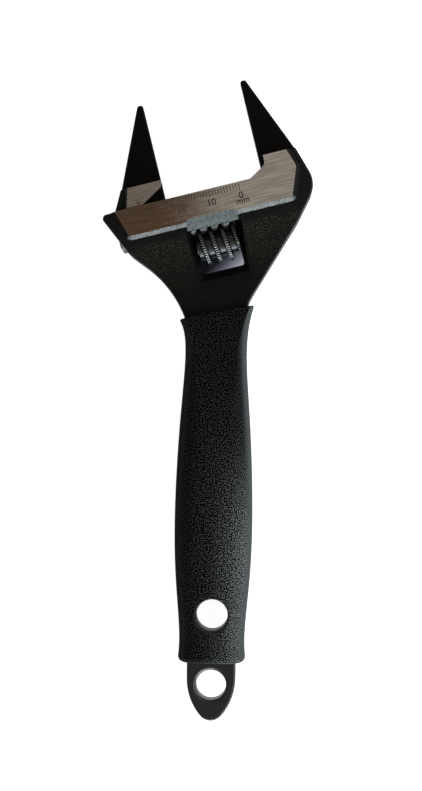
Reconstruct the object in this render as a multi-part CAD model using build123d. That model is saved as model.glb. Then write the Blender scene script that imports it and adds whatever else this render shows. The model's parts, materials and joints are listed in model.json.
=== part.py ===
from build123d import *
import os
from math import ceil, cos, pi, radians, sin, tan

# An adjustable wrench that lies flat: handle along Y, jaws at +Y, thickness along Z.
# Lengths are in millimetres and angles in degrees.
# The head has a frame of its own: u runs along the slide towards the fixed jaw, v towards the
# jaw tips, and both start where the fixed jaw's face meets the slide.
# The handle's frame starts on the handle's middle line, level with that point.

# Head on handle
HEAD_ANGLE = 14.5
HEAD_OFFSET = 14.6  # handle's middle line to the fixed jaw's face

# Outline of the head
HORN_REACH = 55.4  # fixed jaw's face to the far end of the slide
HORN_FOOT_REACH = 48.5  # where the horn's edge turns towards the neck
HORN_FOOT_DROP = 15.2
HORN_FOOT_RADIUS = 10.0
HORN_TIP_RADIUS = 1.5
SHOULDER_REACH = 16.6  # corner behind the fixed jaw, before it is rounded
SHOULDER_DROP = 6.45
SHOULDER_RADIUS = 9.0
FLANK_REACH = 7.6  # where the edge behind the fixed jaw bends towards the neck
FLANK_DROP = 17.45
FLANK_RADIUS = 40.0
NECK_DROP_HORN = 41.3  # where the edges would meet the shank's sides
NECK_DROP_BACK = 45.7
NECK_RADIUS_HORN = 36.0
NECK_RADIUS_BACK = 30.0
STEP_REACH = 12.5  # back of the thick part at the step
EDGE_BREAK = 0.8  # rounding of the forging's outer edges
FILLET_SHARE = 0.88  # most of a straight run that a rounding may use up

# Thicknesses
PAD_THICKNESS = 15.0  # over the two milled faces
HEAD_THICKNESS = 12.4  # margin around the milled faces
JAW_THICKNESS = 5.8
SHANK_THICKNESS = 8.0
WEB_TOP_DROP = 13.2  # the web starts to fall away here, below the slide
WEB_END_DROP = 25.0
WEB_CREST_RADIUS = 12.0
WEB_HOLLOW_RADIUS = 60.0

# Jaws
JAW_REACH = 32.5  # slide to jaw tip
TIP_WIDTH = 1.8
TIP_RADIUS = 0.8
STEP_HEIGHT = 6.5  # slide to the top of the thick part
FIXED_ROOT = 12.5  # width of the thin jaw at the step
FIXED_SETBACK = 1.5  # thick part stands back from the jaw's face
HAUNCH_RUN = 4.4
HAUNCH_RISE = 3.4
HAUNCH_RADIUS = 2.4
JAW_EDGE = 0.35  # broken edges of the thin jaws

# Milled face on the head, and the riser around it
PAD_REACH_TOP = 50.1
PAD_REACH_FOOT = 47.0
PAD_DEPTH = 9.0
PAD_BACK_STEP = 9.4
PAD_BACK_MID = 11.4
PAD_BACK_MID_RISE = 0.5
PAD_BACK_FOOT = 7.3
PAD_BACK_RADIUS = 4.0
PAD_FOOT_RADIUS = 2.4

# Movable jaw
OPENING = 33.0  # between the jaw faces
MOVABLE_ROOT_STEP = 13.5  # width of the jaw at the step
MOVABLE_ROOT_FOOT = 16.9  # width of the thick base at the slide
BASE_PAD_STEP = 11.2  # width of the base's milled face
BASE_PAD_FOOT = 13.0
BASE_FRONT_FOOT = 7.4  # front of the thick base at the slide, back from the jaw's face
BASE_FRONT_RISE = 4.3
BASE_FRONT_SETBACK = 0.4
BASE_FRONT_RADIUS = 3.0
SLIDE_PLAY = 0.15
SLOT_PLAY = 0.15
NECK_SETBACK = 0.4
BAR_DROP = 9.2  # slide to the middle of the round bar
BAR_RADIUS = 4.4
BAR_PLAY = 0.2
BAR_BACK = 18.1  # bar's ends, from the jaw's face
BAR_FRONT = 20.5
BAR_END_BREAK = 0.6

# Worm and rack
WORM_REACH = 19.7  # fixed jaw's face to the middle of the worm
WORM_LENGTH = 13.0
WORM_RADIUS = 6.0
THREAD_PITCH = 3.75
THREAD_DEPTH = 2.0
THREAD_CREST = 1.1
THREAD_FLANK = 14.5
THREAD_SINK = 0.3  # thread's root stands this deep in the core
CREST_SHIFT = -1.85  # a crest that faces the rack, from the middle of the worm
MESH_DEPTH = 1.5
MESH_PLAY = 0.22
MESH_CLEARANCE = 0.3

# Window for the worm
WINDOW_END_PLAY = 0.55
WINDOW_FOOT_GAP = 2.5
WINDOW_HEAD_DROP = 11.8  # upper edge of the window, below the slide
WINDOW_RADIUS = 1.0
RIM_SIDE = 2.4  # the rim's funnel, as wide as this at the level of the margin
RIM_FOOT = 5.2
RIM_LEVEL = 2.0  # the funnel starts this far from the middle of the thickness
RELIEF_DROP = 8.1  # sloped thumb relief above the window
RELIEF_DEPTH = 2.2
RELIEF_SIDE = 1.6
RELIEF_RADIUS = 1.8

# Pin and spring
PIN_RADIUS = 2.0
PIN_PLAY = 0.07
PIN_BITE = 7.0  # plain end in the blind hole
SCREW_RADIUS = 2.5
SCREW_LENGTH = 8.0
SCREW_END = 2.4  # slotted end, behind the fixed jaw's face
SCREW_SLOT_WIDTH = 0.9
SCREW_SLOT_DEPTH = 1.1
SPRING_WIRE = 0.6
SPRING_SIDES = 5  # flats round the wire
SPRING_RADIUS = 2.6
SPRING_TURNS = 3.0
SPRING_PITCH = 1.1
SPRING_SEAT_RADIUS = 3.2
SPRING_FLAT = 0.12  # ground off each end of the spring
SPRING_GAP = 0.05

# Shank and tang
SHANK_WIDTH = 16.1
TANG_END = 179.5
TANG_NOSE = 14.0  # length of the tapered end
TANG_TIP_RADIUS = 4.6
HANG_DROP = 167.7
HANG_RADIUS = 5.0
HANG_SINK = 0.8

# Grip: a section is its drop below the slide, its width and its thickness
GRIP_START = 44.8
GRIP_START_WIDTH = 25.3
GRIP_START_THICKNESS = 16.6
GRIP_SLANT = 11.7  # turn of the first section
GRIP_WAIST = 58.0
GRIP_WAIST_WIDTH = 20.35
GRIP_WAIST_THICKNESS = 15.6
GRIP_CHEST = 84.0
GRIP_CHEST_WIDTH = 23.6
GRIP_CHEST_THICKNESS = 16.4
GRIP_BELLY = 104.0
GRIP_BELLY_WIDTH = 25.4
GRIP_BELLY_THICKNESS = 17.0
GRIP_HIP = 131.0
GRIP_HIP_WIDTH = 24.7
GRIP_HIP_THICKNESS = 16.8
GRIP_NECK = 152.0
GRIP_NECK_WIDTH = 21.65
GRIP_NECK_THICKNESS = 15.4
GRIP_END = 160.4
GRIP_END_WIDTH = 22.9
GRIP_END_THICKNESS = 15.8
GRIP_CORNER = 7.0
GRIP_END_RADIUS = 2.0
GRIP_LIP = 0.5  # broken edge of the slanted end
THUMB_END = 75.0
THUMB_ANGLE = 4.5
GRIP_HOLE_DROP = 144.6
GRIP_HOLE_RADIUS = 5.2
GRIP_HOLE_FLARE = 0.8  # the hole is wider by this at the grip's surface

# Places that follow from the sizes above
HEAD = Location((HEAD_OFFSET, 0, 0), (0, 0, HEAD_ANGLE))
SHANK_HALF = SHANK_WIDTH / 2
RISER = (PAD_THICKNESS - HEAD_THICKNESS) / 2
BAR_FOOT = BAR_DROP + BAR_RADIUS
WORM_DROP = BAR_FOOT - MESH_DEPTH + WORM_RADIUS
WINDOW_HALF = WORM_LENGTH / 2 + WINDOW_END_PLAY
WINDOW_FOOT = WORM_DROP + WORM_RADIUS + WINDOW_FOOT_GAP
THREAD_SLOPE = tan(radians(THREAD_FLANK))
SPRING_LENGTH = SPRING_PITCH * SPRING_TURNS + SPRING_WIRE - 2 * SPRING_FLAT
PIN_TIP = -WORM_REACH - WINDOW_HALF - PIN_BITE
FAR = 400.0  # longer than any cut needs
FLAT = 0.001  # what counts as nothing
HALF = 0.5
POINTS_A_HALF_TURN = 30


def from_head(u, v):
    """The handle frame's place of a point of the head."""
    turn = radians(HEAD_ANGLE)
    return HEAD_OFFSET + u * cos(turn) - v * sin(turn), u * sin(turn) + v * cos(turn)


def to_head(x, y):
    """The head frame's place of a point of the handle."""
    turn = radians(HEAD_ANGLE)
    return (x - HEAD_OFFSET) * cos(turn) + y * sin(turn), y * cos(turn) - (x - HEAD_OFFSET) * sin(turn)


def rounded_face(*corners):
    """A face through corners (x, y, radius), each rounding kept inside its two runs."""
    points = [Vector(x, y) for x, y, _ in corners]
    radii = []
    for place, (_, _, radius) in enumerate(corners):
        arriving = points[place] - points[place - 1]
        leaving = points[(place + 1) % len(points)] - points[place]
        room = FILLET_SHARE * min(arriving.length, leaving.length)
        radii.append(min(radius, room / tan(radians(arriving.get_angle(leaving) / 2))))
    return make_face(FilletPolyline(*points, radius=radii, close=True))


def plate(face, thickness):
    """A face thickened evenly to both sides."""
    return extrude(face, thickness / 2, both=True)


def rod(radius, start, end, drop):
    """A cylinder along the slide, between two places u, this far below the slide."""
    middle = (start + end) / 2
    return Pos(middle, -drop, 0) * Rot(0, 90, 0) * Cylinder(radius, end - start)


def both_faces(cutter):
    """A cutter for the upper face, with its mirror image for the lower one."""
    return cutter + mirror(cutter, Plane.XY)


def forged_blank():
    """Head, shank and tang: the outline, thinned by a side profile that runs along the slide."""
    outline = rounded_face(
        (*from_head(-HORN_REACH, 0), HORN_TIP_RADIUS),
        (*from_head(-HAUNCH_RUN, 0), 0),
        (*from_head(FIXED_SETBACK, HAUNCH_RISE), HAUNCH_RADIUS),
        (*from_head(FIXED_SETBACK, STEP_HEIGHT), 0),
        (*from_head(STEP_REACH, STEP_HEIGHT), 0),
        (*from_head(SHOULDER_REACH, -SHOULDER_DROP), SHOULDER_RADIUS),
        (*from_head(FLANK_REACH, -FLANK_DROP), FLANK_RADIUS),
        (SHANK_HALF, -NECK_DROP_BACK, NECK_RADIUS_BACK),
        (SHANK_HALF, TANG_NOSE - TANG_END, 0),
        (-SHANK_HALF, TANG_NOSE - TANG_END, 0),
        (-SHANK_HALF, -NECK_DROP_HORN, NECK_RADIUS_HORN),
        (*from_head(-HORN_FOOT_REACH, -HORN_FOOT_DROP), HORN_FOOT_RADIUS),
    )
    outline += Pos(0, TANG_NOSE - TANG_END) * tang_nose()
    head_half = HEAD_THICKNESS / 2
    shank_half = SHANK_THICKNESS / 2
    side = rounded_face(
        (FAR, head_half, 0),
        (-WEB_TOP_DROP, head_half, WEB_CREST_RADIUS),
        (-WEB_END_DROP, shank_half, WEB_HOLLOW_RADIUS),
        (-FAR, shank_half, 0),
        (-FAR, -shank_half, 0),
        (-WEB_END_DROP, -shank_half, WEB_HOLLOW_RADIUS),
        (-WEB_TOP_DROP, -head_half, WEB_CREST_RADIUS),
        (FAR, -head_half, 0),
    )
    slab = HEAD * extrude(Plane.YZ * side, FAR, both=True)
    blank = plate(outline, HEAD_THICKNESS) & slab
    walls = [face for face in blank.faces() if abs(face.normal_at().Z) < FLAT]
    outer = [wall for wall in walls if not faces_the_mouth(wall.center())]
    edges = ShapeList(edge for wall in outer for edge in wall.edges())
    return fillet([edge for edge in edges if abs(edge.tangent_at(0.5).Z) < HALF], EDGE_BREAK)


def tang_nose():
    """The tapered end of the tang: two side arcs that run into a smaller arc at the tip."""
    past = TANG_NOSE - TANG_TIP_RADIUS
    side_radius = (SHANK_HALF**2 + past**2 - TANG_TIP_RADIUS**2) / (2 * (SHANK_HALF - TANG_TIP_RADIUS))
    tip_middle = Vector(0, -past)
    side_middle = Vector(SHANK_HALF - side_radius, 0)
    touch = tip_middle + (tip_middle - side_middle).normalized() * TANG_TIP_RADIUS
    other = Vector(-touch.X, touch.Y)
    side = TangentArc((SHANK_HALF, 0), touch, tangent=(0, -1))
    tip = ThreePointArc(touch, (0, -TANG_NOSE), other)
    other_side = TangentArc((-SHANK_HALF, 0), other, tangent=(0, -1))
    return make_face([side, tip, other_side, Line((-SHANK_HALF, 0), (SHANK_HALF, 0))])


def faces_the_mouth(place):
    """Whether a wall of the head at this place borders the slide or the root of the fixed jaw."""
    u, v = to_head(place.X, place.Y)
    return v > -HORN_TIP_RADIUS / 4 and u < STEP_REACH + FLAT


def milled_land():
    """The thick land with its milled faces, sloping to the margin except along the slide."""
    land = plate(
        rounded_face(
            (-PAD_REACH_TOP - RISER, 0, 0),
            (-HAUNCH_RUN, 0, 0),
            (FIXED_SETBACK, HAUNCH_RISE, HAUNCH_RADIUS),
            (FIXED_SETBACK, STEP_HEIGHT, 0),
            (PAD_BACK_STEP + RISER, STEP_HEIGHT, 0),
            (PAD_BACK_MID + RISER, PAD_BACK_MID_RISE, PAD_BACK_RADIUS),
            (PAD_BACK_FOOT + RISER, -PAD_DEPTH - RISER, PAD_FOOT_RADIUS),
            (-PAD_REACH_FOOT - RISER, -PAD_DEPTH - RISER, PAD_FOOT_RADIUS),
        ),
        PAD_THICKNESS,
    )
    rim = land.faces().filter_by(Axis.Z).edges()
    sloped = [edge for edge in rim if edge.center().Y < -FLAT or edge.center().X > PAD_BACK_STEP]
    return chamfer(sloped, RISER)


def thin_jaw(root, toward):
    """A thin jaw with its face at u = 0 that widens towards +u or -u, with broken edges."""
    blade = plate(
        rounded_face(
            (0, 0, 0),
            (0, JAW_REACH, TIP_RADIUS),
            (toward * TIP_WIDTH, JAW_REACH, TIP_RADIUS),
            (toward * root, STEP_HEIGHT, 0),
            (toward * root, 0, 0),
        ),
        JAW_THICKNESS,
    )
    rim = blade.faces().filter_by(Axis.Z).edges()
    return chamfer([edge for edge in rim if edge.center().Y > STEP_HEIGHT], JAW_EDGE)


def worm_window():
    """The opening for the worm, its funnelled rim and the sloped thumb relief above it."""
    tall = WINDOW_FOOT - WINDOW_HEAD_DROP
    middle = -(WINDOW_FOOT + WINDOW_HEAD_DROP) / 2
    opening = RectangleRounded(2 * WINDOW_HALF, tall, WINDOW_RADIUS)
    cut = Pos(-WORM_REACH, middle, 0) * plate(opening, FAR)
    head_half = HEAD_THICKNESS / 2
    mouth = RectangleRounded(2 * (WINDOW_HALF + RIM_SIDE), tall + RIM_FOOT, WINDOW_RADIUS)
    rim = [
        Pos(-WORM_REACH, middle, RIM_LEVEL) * opening,
        Pos(-WORM_REACH, middle - RIM_FOOT / 2, head_half) * mouth,
    ]
    pad_half = PAD_THICKNESS / 2
    slope = Polyline(
        (-RELIEF_DROP, pad_half),
        (-WINDOW_HEAD_DROP, pad_half - RELIEF_DEPTH),
        (-WINDOW_HEAD_DROP - WINDOW_RADIUS, pad_half - RELIEF_DEPTH),
        (-WINDOW_HEAD_DROP - WINDOW_RADIUS, FAR),
        (-RELIEF_DROP, FAR),
        close=True,
    )
    relief = extrude(Plane.YZ * make_face(slope), FAR, both=True)
    reach = WINDOW_HEAD_DROP + WINDOW_RADIUS + RELIEF_RADIUS - RELIEF_DROP
    ends = RectangleRounded(2 * (WINDOW_HALF + RELIEF_SIDE), reach, RELIEF_RADIUS)
    relief &= Pos(0, -RELIEF_DROP - reach / 2, 0) * plate(ends, FAR)
    funnel = loft(rim, ruled=True)
    return cut + both_faces(funnel) + both_faces(Pos(-WORM_REACH, 0, 0) * relief)


def wrench_body():
    """The forging, with the fixed jaw, the slide, the worm's window and all its holes."""
    body = forged_blank()
    body += HEAD * milled_land()
    body += HEAD * thin_jaw(FIXED_ROOT, 1)
    slot_height = BAR_DROP + STEP_HEIGHT
    slot_width = JAW_THICKNESS + 2 * SLOT_PLAY
    body -= HEAD * Pos(-FAR / 2, STEP_HEIGHT - slot_height / 2, 0) * Box(FAR, slot_height, slot_width)
    body -= HEAD * rod(BAR_RADIUS + BAR_PLAY, -FAR / 2, FAR / 2, BAR_DROP)
    body -= HEAD * worm_window()
    body -= HEAD * rod(PIN_RADIUS, PIN_TIP, SCREW_END, WORM_DROP)
    body -= HEAD * rod(SCREW_RADIUS, SCREW_END - SCREW_LENGTH, FAR / 2, WORM_DROP)
    body -= Pos(0, -GRIP_HOLE_DROP, 0) * Cylinder(GRIP_HOLE_RADIUS, FAR)
    body -= Pos(0, -HANG_DROP, 0) * Cylinder(HANG_RADIUS, FAR)
    rims = [edge for edge in body.edges().filter_by(GeomType.CIRCLE) if is_hanging_rim(edge)]
    return chamfer(rims, HANG_SINK)


def is_hanging_rim(edge):
    """Whether a round edge is a rim of the hanging hole."""
    beside = Vector(edge.arc_center.X, edge.arc_center.Y + HANG_DROP)
    return beside.length < FLAT and abs(edge.radius - HANG_RADIUS) < FLAT


def rack_groove():
    """One groove of the rack, at u = 0, slanted as the worm's thread is where they meet."""
    root = WORM_RADIUS + MESH_CLEARANCE
    outside = WORM_RADIUS - MESH_DEPTH - THREAD_SINK
    corners = []
    for radius, side in ((root, -1), (outside, -1), (outside, 1), (root, 1)):
        half = THREAD_CREST / 2 + (WORM_RADIUS - radius) * THREAD_SLOPE + MESH_PLAY
        corners.append((side * half, radius - WORM_DROP))
    lean = THREAD_PITCH / (2 * pi * (WORM_RADIUS - MESH_DEPTH / 2))
    return extrude(make_face(Polyline(*corners, close=True)), FAR / 20, dir=(lean, 0, 1), both=True)


def movable_jaw():
    """The movable jaw on its neck and round bar, with the rack cut along the bar."""
    jaw = thin_jaw(MOVABLE_ROOT_STEP, -1)
    front = (
        (-BASE_FRONT_FOOT, SLIDE_PLAY, 0),
        (-BASE_FRONT_SETBACK, BASE_FRONT_RISE, BASE_FRONT_RADIUS),
        (0, STEP_HEIGHT, 0),
    )
    jaw += plate(
        rounded_face(*front, (-MOVABLE_ROOT_STEP, STEP_HEIGHT, 0), (-MOVABLE_ROOT_FOOT, SLIDE_PLAY, 0)),
        HEAD_THICKNESS,
    )
    pad = plate(
        rounded_face(
            *front,
            (-BASE_PAD_STEP - RISER, STEP_HEIGHT, 0),
            (-BASE_PAD_FOOT - RISER, SLIDE_PLAY, 0),
        ),
        PAD_THICKNESS,
    )
    pad_faces = pad.faces().filter_by(Axis.Z)
    jaw += chamfer([face.edges().sort_by(Axis.X)[0] for face in pad_faces], RISER)
    neck_length = MOVABLE_ROOT_FOOT - NECK_SETBACK
    neck_middle = -(MOVABLE_ROOT_FOOT + NECK_SETBACK) / 2
    neck_height = BAR_DROP + SLIDE_PLAY
    jaw += Pos(neck_middle, (SLIDE_PLAY - BAR_DROP) / 2, 0) * Box(neck_length, neck_height, JAW_THICKNESS)
    bar = rod(BAR_RADIUS, -BAR_BACK, BAR_FRONT, BAR_DROP)
    jaw += chamfer(bar.edges().filter_by(GeomType.CIRCLE), BAR_END_BREAK)
    first = (CREST_SHIFT - WORM_REACH + OPENING + BAR_BACK) % THREAD_PITCH - THREAD_PITCH - BAR_BACK
    count = ceil((BAR_FRONT - first) / THREAD_PITCH) + 1  # with the half grooves at the bar's ends
    groove = rack_groove()
    for place in range(count):
        jaw -= Pos(first + place * THREAD_PITCH, 0, 0) * groove
    return jaw


def adjusting_worm():
    """The worm: a right-handed thread on a core, bored for the pin and for the spring's seat."""
    root = WORM_RADIUS - THREAD_DEPTH
    turns = ceil(WORM_LENGTH / THREAD_PITCH / 2) + 1
    start = CREST_SHIFT - THREAD_PITCH / 4 - turns * THREAD_PITCH
    foot = root - THREAD_SINK
    corners = []
    for radius, side in ((foot, -1), (WORM_RADIUS, -1), (WORM_RADIUS, 1), (foot, 1)):
        half = THREAD_CREST / 2 + (WORM_RADIUS - radius) * THREAD_SLOPE
        corners.append((radius, side * half))
    path = Helix(THREAD_PITCH, (2 * turns + 1) * THREAD_PITCH, root)
    thread = sweep(Plane.XZ * make_face(Polyline(*corners, close=True)), path, is_frenet=True)
    worm = Pos(0, 0, start) * thread & Cylinder(WORM_RADIUS + FLAT, WORM_LENGTH)
    worm += Cylinder(root, WORM_LENGTH)
    worm -= Cylinder(PIN_RADIUS + PIN_PLAY, FAR)
    seat_depth = SPRING_LENGTH + SPRING_GAP - WINDOW_END_PLAY
    worm -= Pos(0, 0, (seat_depth - WORM_LENGTH) / 2) * Cylinder(SPRING_SEAT_RADIUS, seat_depth)
    return Pos(-WORM_REACH, -WORM_DROP, 0) * Rot(0, 90, 0) * worm


def worm_pin():
    """The pin: a plain shank, a thicker screw at the end behind the fixed jaw, and its slot."""
    pin = rod(PIN_RADIUS, PIN_TIP, SCREW_END - SCREW_LENGTH, WORM_DROP)
    pin += rod(SCREW_RADIUS, SCREW_END - SCREW_LENGTH, SCREW_END, WORM_DROP)
    slot = Box(2 * SCREW_SLOT_DEPTH, SCREW_SLOT_WIDTH, 4 * SCREW_RADIUS)
    return pin - Pos(SCREW_END, -WORM_DROP, 0) * slot


def coil_point(half_turns):
    """Place and direction of the spring's wire after this many half turns."""
    turn = half_turns * pi
    climb = SPRING_PITCH / (2 * pi)
    place = Vector(SPRING_RADIUS * cos(turn), SPRING_RADIUS * sin(turn), climb * turn)
    return place, Vector(-SPRING_RADIUS * sin(turn), SPRING_RADIUS * cos(turn), climb).normalized()


def coil_arcs(first, last):
    """Two arcs from one place of the coil to the next that keep to the wire's own directions."""
    start, leaving = coil_point(first)
    end, arriving = coil_point(last)
    chord = end - start
    along = chord.dot(leaving + arriving)
    bend = 2 * (1 - leaving.dot(arriving))
    reach = ((along**2 + bend * chord.dot(chord)) ** 0.5 - along) / bend
    meeting = (start + end) / 2 + (leaving - arriving) * (reach / 2)
    away = TangentArc(start, meeting, tangent=leaving)
    return [away, TangentArc(meeting, end, tangent=away % 1)]


def worm_spring():
    """The coil spring round the pin, with both ends ground flat."""
    arcs = []
    for half_turn in range(ceil(2 * SPRING_TURNS)):
        arcs += coil_arcs(half_turn, min(half_turn + 1, 2 * SPRING_TURNS))
    path = Wire(arcs)
    section = Plane(path @ 0, z_dir=path % 0) * RegularPolygon(SPRING_WIRE / 2, SPRING_SIDES)
    coil = sweep(section, path)
    coil &= Pos(0, 0, SPRING_PITCH * SPRING_TURNS / 2) * Cylinder(2 * SPRING_RADIUS, SPRING_LENGTH)
    first = SPRING_WIRE / 2 - SPRING_FLAT
    return Pos(-WORM_REACH - WINDOW_HALF + first, -WORM_DROP, 0) * Rot(0, 90, 0) * coil


def handle_grip(body):
    """The moulded sleeve: lofted sections, the first at a slant, with thumb flats, round the shank."""
    sections = (
        (GRIP_START, GRIP_START_WIDTH, GRIP_START_THICKNESS),
        (GRIP_WAIST, GRIP_WAIST_WIDTH, GRIP_WAIST_THICKNESS),
        (GRIP_CHEST, GRIP_CHEST_WIDTH, GRIP_CHEST_THICKNESS),
        (GRIP_BELLY, GRIP_BELLY_WIDTH, GRIP_BELLY_THICKNESS),
        (GRIP_HIP, GRIP_HIP_WIDTH, GRIP_HIP_THICKNESS),
        (GRIP_NECK, GRIP_NECK_WIDTH, GRIP_NECK_THICKNESS),
        (GRIP_END, GRIP_END_WIDTH, GRIP_END_THICKNESS),
    )
    rings = [
        Plane.XZ.offset(drop) * RectangleRounded(width, thickness, GRIP_CORNER)
        for drop, width, thickness in sections
    ]
    rings[0] = rings[0].rotate(Axis((0, -GRIP_START, 0), (0, 0, 1)), GRIP_SLANT)
    sleeve = loft(rings)
    sleeve = fillet(sleeve.faces().sort_by(Axis.Y)[0].edges(), GRIP_END_RADIUS)
    sleeve = chamfer(sleeve.faces().sort_by(Axis.Y)[-1].edges(), GRIP_LIP)
    flat = Pos(0, 0, FAR / 2) * Box(FAR, FAR, FAR)
    sleeve -= both_faces(Pos(0, -THUMB_END, GRIP_WAIST_THICKNESS / 2) * Rot(-THUMB_ANGLE, 0, 0) * flat)
    shank_half = SHANK_THICKNESS / 2
    wall = GRIP_HIP_THICKNESS / 2 - shank_half
    flare = Cone(GRIP_HOLE_RADIUS, GRIP_HOLE_RADIUS + GRIP_HOLE_FLARE, wall)
    hole = Cylinder(GRIP_HOLE_RADIUS, SHANK_THICKNESS) + both_faces(Pos(0, 0, shank_half + wall / 2) * flare)
    sleeve -= Pos(0, -GRIP_HOLE_DROP, 0) * hole
    return sleeve - body


def spring_gap():
    """Least gap between the spring's turns, measured on points a fraction of a turn apart."""
    count = ceil(2 * SPRING_TURNS) * POINTS_A_HALF_TURN
    points = [coil_point(place / POINTS_A_HALF_TURN)[0] for place in range(count + 1)]
    far_pairs = (
        (points[near] - points[far]).length
        for near in range(count + 1)
        for far in range(near + POINTS_A_HALF_TURN, count + 1)
    )
    return min(far_pairs) - SPRING_WIRE


def main():
    """Builds every piece, sets the lot on its lowest face and writes one file for each."""
    body = wrench_body()
    pieces = {
        "wrench_body": body,
        "movable_jaw": HEAD * Pos(-OPENING, 0, 0) * movable_jaw(),
        "adjusting_worm": HEAD * adjusting_worm(),
        "worm_pin": HEAD * worm_pin(),
        "worm_spring": HEAD * worm_spring(),
        "handle_grip": handle_grip(body),
    }
    box = Compound([solid for piece in pieces.values() for solid in piece.solids()]).bounding_box()
    to_origin = Pos(-box.center().X, -box.center().Y, -box.min.Z)
    os.makedirs("parts", exist_ok=True)
    for name, piece in pieces.items():
        export_step(to_origin * piece, f"parts/{name}.step")
    print("handle frame moved by", to_origin.position)
    print("least gap between the spring's turns", round(spring_gap(), 3))


main()
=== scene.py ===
"""The looks of a black adjustable wrench that lies flat on a pale table.

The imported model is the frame. The forgings, the pin and the spring keep their solids and get
finishes, and so does the grip. The worm gets a knurled thread and the slide gets its scale.
"""
import json
import logging
import math
from collections.abc import Mapping
from dataclasses import dataclass
from enum import Enum
from typing import Any

import bmesh
import bpy
import numpy as np
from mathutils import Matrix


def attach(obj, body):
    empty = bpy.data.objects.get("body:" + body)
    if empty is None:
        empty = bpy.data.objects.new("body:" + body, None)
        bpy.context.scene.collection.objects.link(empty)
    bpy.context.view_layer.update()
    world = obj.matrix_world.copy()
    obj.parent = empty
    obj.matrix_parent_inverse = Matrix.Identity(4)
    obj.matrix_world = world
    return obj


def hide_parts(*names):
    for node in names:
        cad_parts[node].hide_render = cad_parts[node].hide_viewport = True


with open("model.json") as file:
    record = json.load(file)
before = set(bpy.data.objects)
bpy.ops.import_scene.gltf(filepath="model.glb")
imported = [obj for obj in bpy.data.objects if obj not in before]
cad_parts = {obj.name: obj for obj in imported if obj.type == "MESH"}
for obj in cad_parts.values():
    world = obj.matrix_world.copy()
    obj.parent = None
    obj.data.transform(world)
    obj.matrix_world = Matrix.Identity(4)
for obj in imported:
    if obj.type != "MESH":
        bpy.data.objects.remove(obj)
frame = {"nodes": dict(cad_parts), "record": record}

log = logging.getLogger("wrench")

MM = 0.001
Colour = tuple[float, float, float]
Place = tuple[float, float, float]
Band = tuple[float, float]  # where a change starts and where it ends
# The next pair serves worn marks and painted sheen alike: the least share, and what a pattern adds.
WearAndSheen = tuple[float, float]  # the least wear and what a pattern adds
WHITE: Colour = (1.0, 1.0, 1.0)
BLACK: Colour = (0.0, 0.0, 0.0)


class Body(Enum):
    """The moving bodies that pieces ride on."""

    FRAME = "frame"
    JAW = "jaw"
    WORM = "worm"


class Slot(Enum):
    """Names of the record's material slots; the new pieces are not given them here."""

    BLACK_FORGING = "black_forging"
    JAW_FORGING = "jaw_forging"
    WORM_STEEL = "worm_steel"


@dataclass(frozen=True)
class HeadAxes:
    """The head's own axes: u runs along the slide to the fixed jaw, v to the jaws' tips, and w up.

    Attributes:
        origin: foot of the fixed jaw's face on the slide, at half the wrench's thickness.
        along: unit vector u.
        across: unit vector v.
    """

    origin: np.ndarray
    along: np.ndarray
    across: np.ndarray

    @classmethod
    def from_record(cls, record: Mapping[str, Any], face_middle: float) -> "HeadAxes":
        """Works the axes out from the fixed jaw's face in the record.

        Args:
            record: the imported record.
            face_middle: height of that mount above the slide.

        Returns:
            The head's axes.
        """
        face = next(mount for mount in record["mounts"] if mount["name"] == "fixed_jaw_face")
        along = -np.array(face["axis"], dtype=float)
        across = np.array([-along[1], along[0], 0.0])
        return cls(np.array(face["pos_m"]) - face_middle * across, along, across)

    @property
    def turn(self) -> float:
        """Angle of the slide to the X axis, in radians."""
        return math.atan2(self.along[1], self.along[0])

    def place(self, u: np.ndarray, v: np.ndarray, w: np.ndarray) -> np.ndarray:
        """Turns head coordinates, arrays of one shape, into points in the wrench's frame."""
        flat = [np.asarray(part, dtype=float)[..., None] for part in (u, v, w)]
        return self.origin + flat[0] * self.along + flat[1] * self.across + flat[2] * np.array([0, 0, 1])


def grid_faces(rows: int, columns: int, close_rows: bool = False) -> np.ndarray:
    """Quads of a grid whose point (i, j) has the number i * columns + j.

    Args:
        rows: points along the first parameter.
        columns: points along the second parameter.
        close_rows: whether the last row joins the first.

    Returns:
        Point numbers, four a face.
    """
    i = np.arange(rows if close_rows else rows - 1)[:, None]
    j = np.arange(columns - 1)[None, :]
    next_i = (i + 1) % rows
    corners = (i * columns + j, next_i * columns + j, next_i * columns + j + 1, i * columns + j + 1)
    return np.stack(np.broadcast_arrays(*corners), axis=-1).reshape(-1, 4)


def mesh_object(name: str, points: np.ndarray, faces: np.ndarray) -> bpy.types.Object:
    """Makes an object at the origin from points in place and faces of equal size.

    Args:
        name: name of the piece.
        points: places in metres, (n, 3).
        faces: point numbers, (m, 3) or (m, 4).

    Returns:
        The new object, linked to the scene.
    """
    mesh = bpy.data.meshes.new(name)
    mesh.from_pydata(points.reshape(-1, 3).tolist(), [], faces.tolist())
    thing = bpy.data.objects.new(name, mesh)
    bpy.context.scene.collection.objects.link(thing)
    return thing


def close_up(thing: bpy.types.Object, reach: float) -> None:
    """Merges near points, drops faces that vanish and turns all faces outwards.

    Args:
        thing: the piece.
        reach: distance below which points are merged.
    """
    shape = bmesh.new()
    shape.from_mesh(thing.data)
    bmesh.ops.remove_doubles(shape, verts=shape.verts, dist=reach)
    bmesh.ops.dissolve_degenerate(shape, edges=shape.edges, dist=reach)
    bmesh.ops.recalc_face_normals(shape, faces=shape.faces)
    shape.to_mesh(thing.data)
    shape.free()


def smooth(thing: bpy.types.Object, corner_degrees: float) -> None:
    """Shades a piece smooth, apart from edges sharper than the angle."""
    thing.data.shade_smooth()
    thing.data.set_sharp_from_angle(angle=math.radians(corner_degrees))


def dress(thing: bpy.types.Object, material: bpy.types.Material) -> None:
    """Puts one material into every material slot of an object.

    Args:
        thing: the object.
        material: its finish.
    """
    if not thing.material_slots:
        thing.data.materials.append(material)
    for place in thing.material_slots:
        place.material = material


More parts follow.
